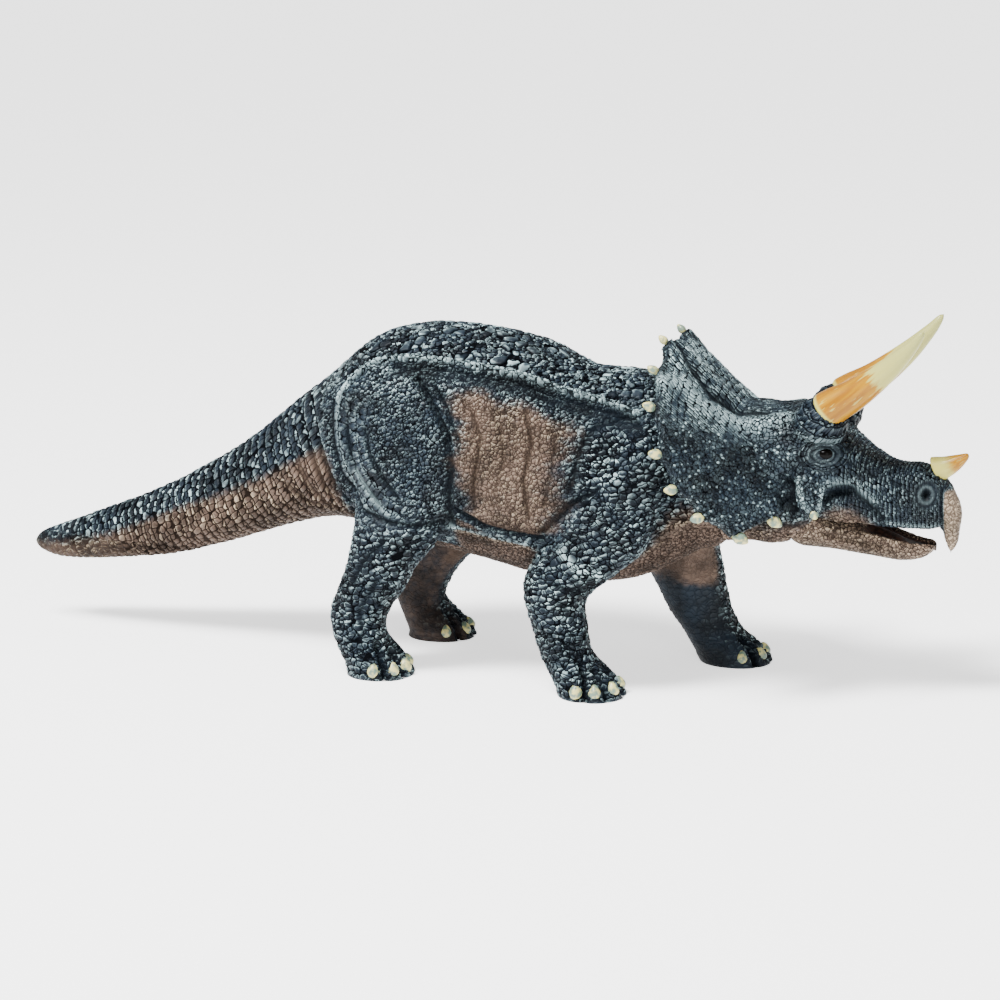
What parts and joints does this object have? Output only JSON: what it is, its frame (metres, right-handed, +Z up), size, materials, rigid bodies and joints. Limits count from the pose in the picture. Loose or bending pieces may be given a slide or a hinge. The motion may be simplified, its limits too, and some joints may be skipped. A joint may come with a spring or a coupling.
{
  "type": "toy dinosaur figure",
  "caption": "Walking horned dinosaur play figure with a studded neck frill, a head that turns on a neck pin and a lower jaw that swings between the cheeks.",
  "frame": {"origin": "on the ground under the middle of the figure's overall box", "axes": "+X forward along the body, +Y to the figure's left, +Z up"},
  "size_m": [0.2169, 0.0592, 0.0809],
  "materials": {
    "skin": "hand painted slate blue-black moulded plastic with pale dry-brushed scales",
    "jaw": "hand painted tan moulded plastic",
    "horn": "gloss varnished cream and orange paint",
    "pin": "plain hard grey plastic"
  },
  "bodies": {
    "body": {"torso": "skin", "tail": "skin", "right_hind_leg": "skin", "left_hind_leg": "skin", "right_fore_leg": "skin", "left_fore_leg": "skin", "neck_pin": "pin"},
    "head": {"head": "skin", "brow_horn_right": "horn", "brow_horn_left": "horn", "nose_horn": "horn", "jaw_pin": "pin"},
    "jaw": {"lower_jaw": "jaw"}
  },
  "joints": [
    {"name": "head_swivel", "type": "hinge", "parent": "body", "child": "head", "pos_m": [0.05789, 0, 0.04671], "axis": [1, 0, 0], "range_deg": [-10, 10]},
    {"name": "jaw_hinge", "type": "hinge", "parent": "head", "child": "jaw", "pos_m": [0.07649, 0, 0.04071], "axis": [0, 1, 0], "range_deg": [-5, 8]}
  ]
}
